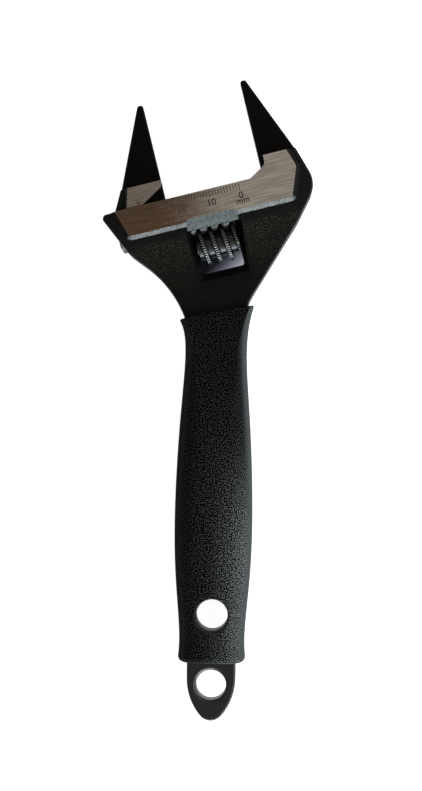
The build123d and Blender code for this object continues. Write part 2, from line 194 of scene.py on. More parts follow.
class Signal:
    """A number that varies over a surface: arithmetic on it adds Math nodes to its recipe."""

    def __init__(self, recipe: "Recipe", socket: bpy.types.NodeSocket) -> None:
        """Wraps an output socket of the recipe's node tree."""
        self.recipe = recipe
        self.socket = socket

    def math(self, operation: str, *values: Any) -> "Signal":
        """Adds a Math node with these values and gives its result."""
        node = self.recipe.node("ShaderNodeMath", {"operation": operation}, dict(enumerate(values)))
        return Signal(self.recipe, node.outputs[0])

    def __add__(self, other: Any) -> "Signal":
        """This plus other."""
        return self.math("ADD", self, other)

    def __radd__(self, other: Any) -> "Signal":
        """Other plus this."""
        return self.math("ADD", other, self)

    def __sub__(self, other: Any) -> "Signal":
        """This minus other."""
        return self.math("SUBTRACT", self, other)

    def __rsub__(self, other: Any) -> "Signal":
        """Other minus this."""
        return self.math("SUBTRACT", other, self)

    def __mul__(self, other: Any) -> "Signal":
        """This times other."""
        return self.math("MULTIPLY", self, other)

    def __rmul__(self, other: Any) -> "Signal":
        """Other times this."""
        return self.math("MULTIPLY", other, self)

    def __abs__(self) -> "Signal":
        """Size without sign."""
        return self.math("ABSOLUTE", self)

    def rise(self, start: float, end: float) -> "Signal":
        """Goes smoothly from 0 at start to 1 at end, whichever of the two is the greater.

        Args:
            start: value up to which it is 0.
            end: value from which it is 1.

        Returns:
            The smooth step.
        """
        low, high = sorted((start, end))
        node = self.recipe.node(
            "ShaderNodeMapRange",
            {"interpolation_type": "SMOOTHSTEP"},
            {"Value": self, "From Min": low, "From Max": high},
        )
        climb = Signal(self.recipe, node.outputs["Result"])
        return climb if end > start else 1 - climb

    def between(self, climb: Band, fall: Band) -> "Signal":
        """Goes from 0 to 1 over the climb and back to 0 over the fall, whose end is the lesser."""
        return self.rise(*climb) * self.rise(*fall)

    def least(self, floor: float) -> "Signal":
        """Runs from floor to 1 where this runs from 0 to 1."""
        return floor + (1 - floor) * self

    def dip(self, share: float) -> "Signal":
        """Runs from 1 down to 1 - share where this runs from 0 to 1."""
        return 1 - share * self


class Recipe:
    """A material's or a world's node tree while it is being made."""

    def __init__(self, name: str, world: bool = False) -> None:
        """Starts an empty node tree.

        Args:
            name: name of the material or world.
            world: whether it is a world.
        """
        self.material = (bpy.data.worlds if world else bpy.data.materials).new(name)
        self.material.use_nodes = True
        self.tree = self.material.node_tree
        self.tree.nodes.clear()

    def node(
        self,
        kind: str,
        settings: Mapping[str, Any] | None = None,
        sockets: Mapping[Any, Any] | None = None,
    ) -> bpy.types.Node:
        """Adds a node.

        Args:
            kind: the node's type.
            settings: its properties, set first.
            sockets: values, signals or sockets by an input's number, identifier or name.

        Returns:
            The new node.
        """
        node = self.tree.nodes.new(kind)
        for key, value in (settings or {}).items():
            setattr(node, key, value)
        for key, value in (sockets or {}).items():
            self._feed(self._input(node, key), value)
        return node

    @staticmethod
    def _input(node: bpy.types.Node, key: Any) -> bpy.types.NodeSocket:
        """Finds an input.

        Args:
            node: the node.
            key: the input's number, identifier or name.

        Returns:
            The input's socket.
        """
        if isinstance(key, int):
            return node.inputs[key]
        named = [socket for socket in node.inputs if socket.identifier == key]
        return named[0] if named else node.inputs[key]

    def _feed(self, socket: bpy.types.NodeSocket, value: Any) -> None:
        """Links a signal or socket to an input, or sets a plain value there.

        Args:
            socket: the input.
            value: what it gets.
        """
        if isinstance(value, Signal):
            value = value.socket
        if isinstance(value, bpy.types.NodeSocket):
            self.tree.links.new(value, socket)
        elif isinstance(value, tuple) and socket.type == "RGBA":
            socket.default_value = (*value, 1.0)
        else:
            socket.default_value = value

    def position(self) -> bpy.types.NodeSocket:
        """Place on the object, in metres."""
        return self.node("ShaderNodeTexCoord").outputs["Object"]

    def normal(self) -> bpy.types.NodeSocket:
        """Direction that the surface faces, in the object's own axes."""
        return self.node("ShaderNodeTexCoord").outputs["Normal"]

    def split(self, vector: bpy.types.NodeSocket) -> tuple[Signal, Signal, Signal]:
        """The three parts of a vector."""
        node = self.node("ShaderNodeSeparateXYZ", sockets={"Vector": vector})
        return tuple(Signal(self, socket) for socket in node.outputs)

    def join(self, x: Signal, y: Signal) -> bpy.types.NodeSocket:
        """Flat coordinates from two parts."""
        return self.node("ShaderNodeCombineXYZ", sockets={"X": x, "Y": y}).outputs["Vector"]

    def stretched(self, turn: float, sizes: Place) -> bpy.types.NodeSocket:
        """Object coordinates turned about Z, in units of their own along each axis.

        Args:
            turn: angle of the new first axis to X, in radians.
            sizes: length of the unit along each new axis.

        Returns:
            The coordinates.
        """
        back = self.node(
            "ShaderNodeMapping",
            {"vector_type": "POINT"},
            {"Vector": self.position(), "Rotation": (0.0, 0.0, -turn)},
        )
        scale = tuple(1 / size for size in sizes)
        grown = self.node("ShaderNodeVectorMath", {"operation": "MULTIPLY"}, {0: back.outputs[0], 1: scale})
        return grown.outputs[0]

    def noise(
        self, size: float, detail: float = 2.0, vector: bpy.types.NodeSocket | None = None
    ) -> Signal:
        """Soft noise from 0 to 1.

        Args:
            size: breadth of a blot, in the units of the coordinates.
            detail: octaves of finer noise.
            vector: coordinates, or None for the place on the object.

        Returns:
            The noise.
        """
        node = self.node(
            "ShaderNodeTexNoise",
            {"noise_dimensions": "3D"},
            {"Vector": vector or self.position(), "Scale": 1.0 / size, "Detail": detail},
        )
        return Signal(self, node.outputs[0])

    def pebbles(self, size: float, vector: bpy.types.NodeSocket | None = None) -> Signal:
        """Distance in X and Y to the nearest of many scattered points.

        Args:
            size: breadth of a point's cell, in the units of the coordinates.
            vector: coordinates, or None for the place on the object.

        Returns:
            The distance, in breadths of a cell.
        """
        node = self.node(
            "ShaderNodeTexVoronoi",
            {"voronoi_dimensions": "2D", "feature": "F1"},
            {"Vector": vector or self.position(), "Scale": 1.0 / size, "Randomness": 0.9},
        )
        return Signal(self, node.outputs["Distance"])

    def attribute(self, name: str) -> Signal:
        """A number that the piece's mesh holds for each point."""
        node = self.node("ShaderNodeAttribute", {"attribute_name": name})
        return Signal(self, node.outputs["Fac"])

    def mix(self, share: Any, first: Any, second: Any) -> bpy.types.NodeSocket:
        """Mixes two colours.

        Args:
            share: 0 for the first colour up to 1 for the second.
            first: a colour or its socket.
            second: another.

        Returns:
            The mixed colour.
        """
        node = self.node(
            "ShaderNodeMix",
            {"data_type": "RGBA", "clamp_factor": True},
            {"Factor_Float": share, "A_Color": first, "B_Color": second},
        )
        return next(socket for socket in node.outputs if socket.identifier == "Result_Color")

    def bump(self, height: Signal, distance: float) -> bpy.types.NodeSocket:
        """A normal that follows a height from 0 to 1, for a relief of that distance."""
        sockets = {"Height": height, "Distance": distance, "Strength": 1.0}
        return self.node("ShaderNodeBump", sockets=sockets).outputs["Normal"]

    def close(self, **sockets: Any) -> bpy.types.Material:
        """Ends the recipe with a Principled shader.

        Args:
            sockets: the shader's inputs, with _ for a space in a name.

        Returns:
            The material.
        """
        named = {key.replace("_", " "): value for key, value in sockets.items()}
        shader = self.node("ShaderNodeBsdfPrincipled", sockets=named)
        self.node("ShaderNodeOutputMaterial", sockets={"Surface": shader.outputs[0]})
        return self.material


@dataclass(frozen=True)
class ForgingMasks:
    """Where each zone of a forging lies, from 0 to 1.

    Attributes:
        height: place along v, above the slide. This one is a length.
        pad: the bare milled pads.
        jaw: the thin jaws.
        riser: the slope below the pads, on its side towards the handle, where a highlight is painted.
        relief: the thumb relief's slope, on its side towards the handle, where a reflection is painted.
        margin: the flat margin round the pads.
        window: the worm's window with its funnelled rim.
        rounded: the rounded edges.
        tang: the tang beyond the grip.
        web: the grainy web below the slide.
    """

    height: Signal
    pad: Signal
    jaw: Signal
    riser: Signal
    relief: Signal
    margin: Signal
    window: Signal
    rounded: Signal
    tang: Signal
    web: Signal


@dataclass(frozen=True)
class ForgingZones:
    """The sizes and slopes that tell a forging's zones apart.

    A band goes from where a zone is not there yet to where it is full. A level is a distance from the
    middle of the thickness, a height is a place along v, and a slope is the upright part of a face's
    direction, 1 on a level face and 0 on a wall. A front is that direction's part towards the handle.

    Attributes:
        pad_level: band of the pads.
        pad_slope: band of their slope.
        jaw_height: band where the thin jaws begin.
        jaw_level: band of their half thickness.
        riser_slope: climb and fall of the riser's slope.
        riser_front: band of its front.
        relief_slope: climb and fall of the thumb relief's slope.
        relief_front: band of its front.
        margin_level: band of the margin.
        window_reach: distance of the window's middle from the fixed jaw's face.
        window_half: band of half the breadth of its funnelled rim.
        window_foot: band of the funnel's lower end.
        window_head: band of its upper end.
        edge_slope: climb and fall of the rounded edges' slope.
        edge_level: band of their level.
        edge_height: band below which the edges take their lighter colour, worn paint and painted highlight.
        tang_start: band along Y where the tang comes out of the grip.
        web_height: band of the web, from where its grain has faded.
    """

    pad_level: Band = (7.38 * MM, 7.42 * MM)
    pad_slope: Band = (0.95, 0.98)
    jaw_height: Band = (6.3 * MM, 6.4 * MM)
    jaw_level: Band = (3.1 * MM, 3.0 * MM)
    riser_slope: tuple[Band, Band] = ((0.62, 0.68), (0.78, 0.74))
    riser_front: Band = (0.35, 0.65)
    relief_slope: tuple[Band, Band] = ((0.79, 0.81), (0.90, 0.86))
    relief_front: Band = (0.4, 0.5)
    margin_level: Band = (6.1 * MM, 6.15 * MM)
    window_reach: float = 19.7 * MM
    window_half: Band = (9.6 * MM, 9.3 * MM)
    window_foot: Band = (-32.4 * MM, -32.0 * MM)
    window_head: Band = (-11.1 * MM, -11.4 * MM)
    edge_slope: tuple[Band, Band] = ((0.05, 0.35), (0.90, 0.65))
    edge_level: Band = (6.3 * MM, 6.1 * MM)
    edge_height: Band = (4.0 * MM, -2.0 * MM)
    tang_start: Band = (-83.0 * MM, -85.0 * MM)
    web_height: Band = (-36.0 * MM, -14.0 * MM)

    def masks(self, recipe: Recipe, head: HeadAxes) -> ForgingMasks:
        """Works the zones out from the place and the direction of each face.

        Args:
            recipe: the forging's recipe.
            head: the head's axes, which the zones follow.

        Returns:
            The zones.
        """
        x, y, z = recipe.split(recipe.position())
        right, up = x - float(head.origin[0]), y - float(head.origin[1])
        cos, sin = math.cos(head.turn), math.sin(head.turn)
        u, v = right * cos + up * sin, up * cos - right * sin
        level = abs(z - float(head.origin[2]))
        face_x, face_y, face_z = recipe.split(recipe.normal())
        slope, front = abs(face_z), face_x * sin - face_y * cos
        jaw = v.rise(*self.jaw_height) * level.rise(*self.jaw_level)
        window = abs(u + self.window_reach).rise(*self.window_half)
        window = window * v.rise(*self.window_foot) * v.rise(*self.window_head)
        # rounded edges, which take a lighter colour as worn paint and as a painted highlight
        rounded = slope.between(*self.edge_slope) * level.rise(*self.edge_level) * (1 - jaw)
        return ForgingMasks(
            height=v,
            pad=level.rise(*self.pad_level) * slope.rise(*self.pad_slope),
            jaw=jaw,
            # the riser's side towards the handle takes a painted highlight
            riser=slope.between(*self.riser_slope) * front.rise(*self.riser_front),
            # the thumb relief's side towards the handle takes a painted reflection
            relief=slope.between(*self.relief_slope) * front.rise(*self.relief_front),
            margin=level.rise(*self.margin_level),
            window=window,
            rounded=rounded * (1 - window) * v.rise(*self.edge_height),
            tang=y.rise(*self.tang_start),
            web=v.rise(*self.web_height),
        )


@dataclass(frozen=True)
class BlackCoat:
    """A grainy black coat on forged steel, smooth on the jaws and the tang, with a painted highlight on the
    slope below the pads and a painted reflection on the thumb relief where they face the handle, a painted
    shade band under that slope, and edges lighter as worn paint and as a painted highlight.

    Attributes:
        coat: colour of the coat.
        speck: colour of its lighter grains.
        riser: colour of the painted highlight on the slope below the pads, on its side towards the handle.
        relief: colour of the painted reflection on the thumb relief, on its side towards the handle.
        edge: colour of the rounded edges, lighter as worn paint and as a painted highlight.
        jaw: colour of the thin jaws.
        tang: colour of the tang beyond the grip.
        bar: colour of the round bar and its rack.
        bar_height: band of heights where the bar begins, below the slide.
        grain: breadth of the grains.
        grain_height: height of the grains.
        patch: breadth of the patches that have more specks or fewer.
        patch_least: specks of the barest patch.
        speck_gap: distance between the lighter grains.
        speck_reach: band of distances from a speck's rim to its core, in gaps.
        speck_grain: band of grain in which a speck shows.
        speck_height: band of heights below the slide where the specks begin; above it they are thinned, a
            painted shade band under the riser.
        upper_specks: share of the specks above that band.
        shank_specks: share of the specks below the web.
        margin_calm: share of its specks that the margin lacks.
        tang_calm: share of its specks that the tang lacks.
        margin_edge: how much of the edges' colour the margin has.
        edge_wear: how much of their colour the edges have at least, and what a patch adds.
        riser_grain: band of grain in which the painted highlight on the riser shows.
        relief_grain: band of grain in which the painted reflection on the thumb relief grows.
        relief_wear: how much of the painted reflection the thumb relief has at least, and what the grain
            adds.
        rough: roughness between the grains.
        grain_rough: what a grain adds to it.
        margin_rough: what the margin adds.
        jaw_polish: what the jaws take off.
        tang_polish: what the tang takes off.
        jaw_smooth: share of the grain's height that the jaws lack.
        tang_smooth: share of the grain's height that the tang lacks.
        metal: how metallic the coat is.
        specular: specular level of the part that isn't metal.
    """

    coat: Colour = (0.0046, 0.0044, 0.0034)
    speck: Colour = (0.112, 0.107, 0.082)
    riser: Colour = (0.29, 0.292, 0.285)
    relief: Colour = (0.138, 0.152, 0.153)
    edge: Colour = (0.085, 0.088, 0.088)
    jaw: Colour = (0.0036, 0.0033, 0.0028)
    tang: Colour = (0.030, 0.029, 0.027)
    bar: Colour = (0.13, 0.135, 0.13)
    bar_height: Band = (-4.6 * MM, -4.9 * MM)
    grain: float = 0.34 * MM
    grain_height: float = 0.16 * MM
    patch: float = 7.0 * MM
    patch_least: float = 0.3
    speck_gap: float = 0.48 * MM
    speck_reach: Band = (0.38, 0.12)
    speck_grain: Band = (0.38, 0.66)
    speck_height: Band = (-11.8 * MM, -13.8 * MM)
    upper_specks: float = 0.25
    shank_specks: float = 0.12
    margin_calm: float = 0.6
    tang_calm: float = 0.8
    margin_edge: float = 0.05
    edge_wear: WearAndSheen = (0.6, 0.6)
    riser_grain: Band = (0.30, 0.62)
    relief_grain: Band = (0.36, 0.66)
    relief_wear: WearAndSheen = (0.25, 1.1)
    rough: float = 0.40
    grain_rough: float = 0.22
    margin_rough: float = 0.05
    jaw_polish: float = 0.10
    tang_polish: float = 0.06
    jaw_smooth: float = 0.85
    tang_smooth: float = 0.6
    metal: float = 0.75
    specular: float = 0.25

    def _specks(self, recipe: Recipe, masks: ForgingMasks, grain: Signal, patches: Signal) -> Signal:
        """Scatters the lighter grains, most of them over the web.

        Args:
            recipe: the forging's recipe.
            masks: its zones.
            grain: the grain.
            patches: where there are more.

        Returns:
            The share of the lighter colour.
        """
        specks = recipe.pebbles(self.speck_gap).rise(*self.speck_reach) * grain.rise(*self.speck_grain)
        specks = specks * masks.web.least(self.shank_specks) * (self.patch_least + patches)
        # fewer specks above this band: a painted shade band under the riser
        specks = specks * masks.height.rise(*self.speck_height).least(self.upper_specks)
        specks = specks * (1 - masks.jaw) * (1 - masks.window)
        return specks * masks.margin.dip(self.margin_calm) * masks.tang.dip(self.tang_calm)

    def colour(
        self, recipe: Recipe, masks: ForgingMasks, grain: Signal, bar_share: float
    ) -> bpy.types.NodeSocket:
        """Lays the zones' colours over the coat, one after the other.

        Args:
            recipe: the forging's recipe.
            masks: its zones.
            grain: the grain.
            bar_share: 1 where the forging has a bare round bar, else 0.

        Returns:
            The colour.
        """
        patches = recipe.noise(self.patch)
        edge_least, edge_more = self.edge_wear
        relief_least, relief_more = self.relief_wear
        # share of the painted reflection on the thumb relief
        relief = relief_least + relief_more * grain.rise(*self.relief_grain)
        layers = (
            (self._specks(recipe, masks, grain, patches), self.speck),
            (self.margin_edge * masks.margin, self.edge),
            (masks.tang, self.tang),
            (masks.jaw, self.jaw),
            # lighter rounded edges: worn paint and a painted highlight
            (masks.rounded * (edge_least + edge_more * patches), self.edge),
            (bar_share * masks.height.rise(*self.bar_height), self.bar),
            # painted highlight on the slope below the pads, on its side towards the handle
            (masks.riser * grain.rise(*self.riser_grain), self.riser),
            # painted reflection on the thumb relief, on its side towards the handle
            (masks.relief * relief, self.relief),
        )
        coat = self.coat
        for share, colour in layers:
            coat = recipe.mix(share, coat, colour)
        return coat

    def roughness(self, masks: ForgingMasks, grain: Signal) -> Signal:
        """Roughness of the coat: more on the grains and the margin, less on the jaws and the tang."""
        rough = self.rough + self.grain_rough * grain + self.margin_rough * masks.margin
        return rough - self.jaw_polish * masks.jaw - self.tang_polish * masks.tang

    def grain_relief(self, masks: ForgingMasks, grain: Signal) -> Signal:
        """Height of the grains, which the jaws and the tang have less of."""
        return grain * masks.jaw.dip(self.jaw_smooth) * masks.tang.dip(self.tang_smooth)


@dataclass(frozen=True)
class MilledSteel:
    """Bare steel with fine brush lines and broader strokes along the slide.

    Attributes:
        steel: colour of a bright stroke.
        shade: what a dull stroke keeps of that colour.
        line: size of a brush line along u, v and w.
        line_detail: octaves of finer lines.
        stroke: size of a stroke along u, v and w.
        stroke_band: band of the strokes' noise from dull to bright.
        dull: brightness where there is neither line nor stroke.
        line_bright: what the lines add to it.
        stroke_bright: what the strokes add to it.
        line_rough: what the lines add to the roughness.
        line_height: height of the lines, in heights of the coat's grain.
    """

    steel: Colour = (0.50, 0.485, 0.455)
    shade: float = 0.55
    line: Place = (9.0 * MM, 0.11 * MM, 9.0 * MM)
    line_detail: float = 3.0
    stroke: Place = (11.0 * MM, 0.45 * MM, 1.0 * MM)
    stroke_band: Band = (0.38, 0.68)
    dull: float = 0.10
    line_bright: float = 0.5
    stroke_bright: float = 0.9
    line_rough: float = 0.02
    line_height: float = 0.03

    def lines(self, recipe: Recipe, head: HeadAxes) -> Signal:
        """The brush lines, from 0 to 1."""
        return recipe.noise(1.0, self.line_detail, recipe.stretched(head.turn, self.line))

    def colour(self, recipe: Recipe, head: HeadAxes, lines: Signal) -> bpy.types.NodeSocket:
        """Colours the steel by its lines and strokes.

        Args:
            recipe: the forging's recipe.
            head: the head's axes, which the strokes follow.
            lines: the brush lines.

        Returns:
            The colour.
        """
        strokes = recipe.noise(1.0, vector=recipe.stretched(head.turn, self.stroke))
        bright = self.dull + self.line_bright * lines + self.stroke_bright * strokes.rise(*self.stroke_band)
        return recipe.mix(bright, tuple(self.shade * part for part in self.steel), self.steel)


@dataclass(frozen=True)
class BlackForging:
    """A black coated forging with bare milled pads.

    Attributes:
        name: name of the material.
        pad_rough: roughness of the bare pads along their brush lines.
        bar_share: 1 where the forging has a bare round bar below the slide, else 0.
        zones: where its zones lie.
        coat: its coat.
        steel: its bare steel.
    """

    name: str
    pad_rough: float
    bar_share: float
    zones: ForgingZones = ForgingZones()
    coat: BlackCoat = BlackCoat()
    steel: MilledSteel = MilledSteel()

    def material(self, head: HeadAxes) -> bpy.types.Material:
        """Makes the finish.

        Args:
            head: the head's axes, which the brush lines, the slopes and the jaws follow.

        Returns:
            The material.
        """
        recipe = Recipe(self.name)
        masks = self.zones.masks(recipe, head)
        pad = masks.pad
        grain = recipe.noise(self.coat.grain)
        lines = self.steel.lines(recipe, head)
        coat = self.coat.colour(recipe, masks, grain, self.bar_share)
        rough = self.coat.roughness(masks, grain) * (1 - pad)
        height = self.coat.grain_relief(masks, grain) * (1 - pad)
        return recipe.close(
            Base_Color=recipe.mix(pad, coat, self.steel.colour(recipe, head, lines)),
            Roughness=rough + pad * (self.pad_rough + self.steel.line_rough * lines),
            Metallic=pad.least(self.coat.metal),
            Normal=recipe.bump(height + pad * lines * self.steel.line_height, self.coat.grain_height),
            Specular_IOR_Level=self.coat.specular,
        )


@dataclass(frozen=True)
class WormSteel:
    """Oiled black steel, rubbed bright on the ridges of the knurl and a little in the thread's roots.

    Attributes:
        black: colour of the thread's flanks and of the notches.
        rubbed: colour of the ridges.
        blot: breadth of the blots in the rubbing.
        blot_height: their height.
        rubbing: how much a ridge is rubbed at least, and what a blot adds.
        rough: roughness of the oiled steel.
        blot_rough: what a blot adds to it.
        shine_rough: what the rubbing adds to it.
    """

    black: Colour = (0.020, 0.0215, 0.023)
    rubbed: Colour = (0.52, 0.53, 0.53)
    blot: float = 0.5 * MM
    blot_height: float = 0.03 * MM
    rubbing: WearAndSheen = (0.35, 0.9)
    rough: float = 0.22
    blot_rough: float = 0.12
    shine_rough: float = 0.10

    def material(self) -> bpy.types.Material:
        """Makes the finish, which reads the mesh's "shine" numbers.

        Returns:
            The material.
        """
        recipe = Recipe("worm_black_steel")
        shine = recipe.attribute("shine")
        blots = recipe.noise(self.blot, detail=3.0)
        least, more = self.rubbing
        return recipe.close(
            Base_Color=recipe.mix(shine * (least + more * blots), self.black, self.rubbed),
            Roughness=self.rough + self.blot_rough * blots + self.shine_rough * shine,
            Metallic=1.0,
            Normal=recipe.bump(blots, self.blot_height),
        )


@dataclass(frozen=True)
class TurnedSteel:
    """Plain turned steel with fine tool marks.

    Attributes:
        name: name of the material.
        steel: its colour.
        shade: what a dull blot keeps of that colour.
        blot: breadth of the blots.
        blot_band: band of the blots' noise from dull to bright.
        mark: breadth of the tool marks.
        mark_height: their height.
        rough: roughness between the blots.
        blot_rough: what a blot adds to it.
    """

    name: str
    steel: Colour
    shade: float = 0.55
    blot: float = 0.8 * MM
    blot_band: Band = (0.3, 0.7)
    mark: float = 0.12 * MM
    mark_height: float = 0.02 * MM
    rough: float = 0.28
    blot_rough: float = 0.2

    def material(self) -> bpy.types.Material:
        """Makes the finish.

        Returns:
            The material.
        """
        recipe = Recipe(self.name)
        blots = recipe.noise(self.blot, detail=3.0)
        shaded = tuple(self.shade * part for part in self.steel)
        return recipe.close(
            Base_Color=recipe.mix(blots.rise(*self.blot_band), shaded, self.steel),
            Roughness=self.rough + self.blot_rough * blots,
            Metallic=1.0,
            Normal=recipe.bump(recipe.noise(self.mark, detail=1.0), self.mark_height),
        )


@dataclass(frozen=True)
class GripRubber:
    """Moulded black rubber with a fine pebbled grain and scuffs, and a painted sheen and painted glints on
    its +X side that grow towards the heel.

    Attributes:
        dark: colour between the pebbles and of the shy flank.
        bloom: colour of the painted sheen on the +X flank and between the pebbles near the heel.
        scuffed: colour on top of the pebbles, for scuffs and for painted glints.
        grain: breadth of a pebble.
        pebble: band of distances from a pebble's foot to its top, in breadths.
        relief: height of the pebbles.
        flank_relief: share of that height on the flanks.
        light_along: band along Y over which the painted glints grow towards the heel.
        light_across: band along X from the side without painted sheen to the +X side with it.
        deep_along: band along Y of the painted sheen near the heel.
        deep_across: band along X of the painted sheen near the heel.
        parting: height of the mould's parting line.
        crown: height of the broad faces above and below it.
        ridge: half the breadth of the strip where the pebbles of the two sides meet.
        broad_slope: band of slopes from a flank to a broad face.
        dust: breadth of the dusty blots.
        dust_swing: how much the scuffs vary with the dust.
        face_scuffs: scuffs all over the broad faces.
        light_scuffs: what the painted glints towards +X add.
        deep_scuffs: what the painted sheen near the heel adds on the pebbles.
        flank_scuffs: scuffs on the flanks, and the painted sheen that the +X flank has more.
        palm_bloom: how much of the painted sheen colour the broad faces near the heel have between the
            pebbles.
        rough: roughness of the flanks.
        broad_polish: what the broad faces take off.
        dust_rough: what the dust adds.
        specular: specular level of the rubber.
    """

    dark: Colour = (0.0008, 0.0009, 0.0008)
    bloom: Colour = (0.051, 0.0555, 0.057)
    scuffed: Colour = (0.52, 0.535, 0.505)
    grain: float = 0.57 * MM
    pebble: Band = (0.34, 0.14)
    relief: float = 0.12 * MM
    flank_relief: float = 0.5
    light_along: Band = (25.0 * MM, -40.0 * MM)
    light_across: Band = (-9.0 * MM, 8.0 * MM)
    deep_along: Band = (-7.0 * MM, -54.0 * MM)
    deep_across: Band = (0.5 * MM, 18.0 * MM)
    parting: float = 8.587 * MM
    crown: float = 8.2 * MM
    ridge: float = 0.01 * MM
    broad_slope: Band = (0.45, 0.80)
    dust: float = 14.0 * MM
    dust_swing: float = 0.4
    face_scuffs: float = 0.080
    light_scuffs: float = 0.090
    deep_scuffs: float = 0.68
    flank_scuffs: WearAndSheen = (0.03, 0.15)
    palm_bloom: float = 0.4
    rough: float = 0.70
    broad_polish: float = 0.42
    dust_rough: float = 0.08
    specular: float = 0.03

    def material(self) -> bpy.types.Material:
        """Makes the finish: the pebbles run on from the broad faces over the flanks, with the scuffs and the
        painted sheen and glints on top.

        Returns:
            The material.
        """
        recipe = Recipe("grip_black_rubber")
        broad = abs(recipe.split(recipe.normal())[2]).rise(*self.broad_slope)
        x, y, z = recipe.split(recipe.position())
        drop = self.crown - abs(z - self.parting)
        round_girth = x + drop * (2 * x.rise(-self.ridge, self.ridge) - 1)
        tops = recipe.pebbles(self.grain, recipe.join(round_girth, y)).rise(*self.pebble)
        dust = recipe.noise(self.dust)
        # The +X side and the heel take a painted sheen, and the pebbles there painted glints.
        side = x.rise(*self.light_across)
        light = y.rise(*self.light_along) * side
        heel_sheen = y.rise(*self.deep_along) * x.rise(*self.deep_across)
        flank_least, flank_more = self.flank_scuffs
        # Scuffs over the broad faces, plus painted glints towards +X and the heel.
        face_wear_and_sheen = self.face_scuffs + self.light_scuffs * light + self.deep_scuffs * heel_sheen
        wear_and_sheen = face_wear_and_sheen * broad + (flank_least + flank_more * side) * (1 - broad)
        wear_and_sheen = wear_and_sheen * (1 - self.dust_swing / 2 + self.dust_swing * dust)
        # Between the pebbles: black, with a painted sheen on the +X flank and near the heel.
        ground = recipe.mix((1 - broad) * side + self.palm_bloom * broad * heel_sheen, self.dark, self.bloom)
        return recipe.close(
            Base_Color=recipe.mix(tops * wear_and_sheen, ground, self.scuffed),
            Roughness=self.rough - self.broad_polish * broad + self.dust_rough * dust,
            Normal=recipe.bump(tops * broad.least(self.flank_relief), self.relief),
            Specular_IOR_Level=self.specular,
        )


@dataclass(frozen=True)
class MarkInk:
    """Dark marks etched into the bare steel.

    Attributes:
        name: name of the material.
        rubbing: how much the sliding jaw has rubbed the marks.
        dark: colour of a full mark.
        worn: colour where the mark has worn thin.
        worn_along: band along X where the sliding jaw rubs the marks.
        blot: breadth of the worn blots.
        blot_band: band of the blots' noise from full to worn.
        rough: roughness of a full mark.
        blot_rough: what a blot adds to it.
        metal: how metallic the marks are.
    """

    name: str
    rubbing: float
    dark: Colour = (0.010, 0.009, 0.008)
    worn: Colour = (0.055, 0.037, 0.026)
    worn_along: Band = (2.0 * MM, -10.0 * MM)
    blot: float = 0.7 * MM
    blot_band: Band = (0.5, 0.8)
    rough: float = 0.55
    blot_rough: float = 0.2
    metal: float = 0.3

    def material(self) -> bpy.types.Material:
        """Makes the finish.

        Returns:
            The material.
        """
        recipe = Recipe(self.name)
        x = recipe.split(recipe.position())[0]
        blots = recipe.noise(self.blot)
        rubbed = blots.rise(*self.blot_band) + self.rubbing * x.rise(*self.worn_along)
        return recipe.close(
            Base_Color=recipe.mix(rubbed, self.dark, self.worn),
            Roughness=self.rough + self.blot_rough * blots,
            Metallic=self.metal,
        )


